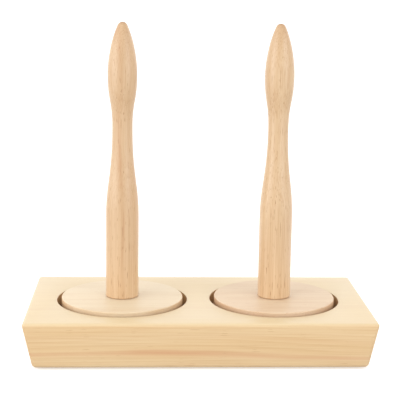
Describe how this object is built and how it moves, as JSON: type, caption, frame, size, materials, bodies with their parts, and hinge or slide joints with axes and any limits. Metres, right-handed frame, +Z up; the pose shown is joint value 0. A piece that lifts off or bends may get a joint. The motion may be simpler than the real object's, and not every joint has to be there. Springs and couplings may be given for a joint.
{
  "type": "twin spindle spool holder",
  "caption": "Wooden block with recessed turntables on ball bearings, each with a turned spindle, to hold spools or balls of yarn as they pay out.",
  "frame": {"origin": "on the table, in the middle of the stand's outline", "axes": "+Z up along the spindles; +X along the block's length, from the left spindle to the right one; +Y from front to back"},
  "size_m": [0.28, 0.1448, 0.2672],
  "materials": {
    "block_wood": "satin clear lacquer",
    "left_disc_wood": "satin clear lacquer",
    "right_disc_wood": "satin clear lacquer",
    "spindle_wood": "satin clear lacquer, turned",
    "bearing_steel": "ground and polished",
    "zinc_plated_steel": "bright zinc plated",
    "insert_metal": "turned",
    "cage_nylon": "natural nylon",
    "pad_rubber": "matt"
  },
  "bodies": {
    "base": {"base_block": "block_wood", "front_left_pad": "pad_rubber", "front_right_pad": "pad_rubber", "rear_left_pad": "pad_rubber", "rear_right_pad": "pad_rubber", "left_bearing_outer_ring": "bearing_steel", "left_bearing_top_shield": "bearing_steel", "left_bearing_bottom_shield": "bearing_steel", "right_bearing_outer_ring": "bearing_steel", "right_bearing_top_shield": "bearing_steel", "right_bearing_bottom_shield": "bearing_steel"},
    "left_turntable": {"left_turntable_disc": "left_disc_wood", "left_spindle": "spindle_wood", "left_threaded_insert": "insert_metal", "left_axle_screw": "zinc_plated_steel", "left_head_washer": "zinc_plated_steel", "left_spacer_washer": "zinc_plated_steel", "left_bearing_inner_ring": "bearing_steel"},
    "left_ball_set": {"left_bearing_balls": "bearing_steel", "left_bearing_cage": "cage_nylon"},
    "right_turntable": {"right_turntable_disc": "right_disc_wood", "right_spindle": "spindle_wood", "right_threaded_insert": "insert_metal", "right_axle_screw": "zinc_plated_steel", "right_head_washer": "zinc_plated_steel", "right_spacer_washer": "zinc_plated_steel", "right_bearing_inner_ring": "bearing_steel"},
    "right_ball_set": {"right_bearing_balls": "bearing_steel", "right_bearing_cage": "cage_nylon"}
  },
  "joints": [
    {"name": "left_turntable_spin", "type": "hinge", "parent": "base", "child": "left_turntable", "pos_m": [-0.0638, 0, 0.0402], "axis": [0, 0, 1], "continuous": true},
    {"name": "left_ball_set_spin", "type": "hinge", "parent": "base", "child": "left_ball_set", "pos_m": [-0.0638, 0, 0.0402], "axis": [0, 0, 1], "continuous": true},
    {"name": "right_turntable_spin", "type": "hinge", "parent": "base", "child": "right_turntable", "pos_m": [0.0638, 0, 0.0402], "axis": [0, 0, 1], "continuous": true},
    {"name": "right_ball_set_spin", "type": "hinge", "parent": "base", "child": "right_ball_set", "pos_m": [0.0638, 0, 0.0402], "axis": [0, 0, 1], "continuous": true}
  ],
  "couplings": [
    {"joint": "left_ball_set_spin", "follows": "left_turntable_spin", "ratio": 0.3677},
    {"joint": "right_ball_set_spin", "follows": "right_turntable_spin", "ratio": 0.3677}
  ]
}
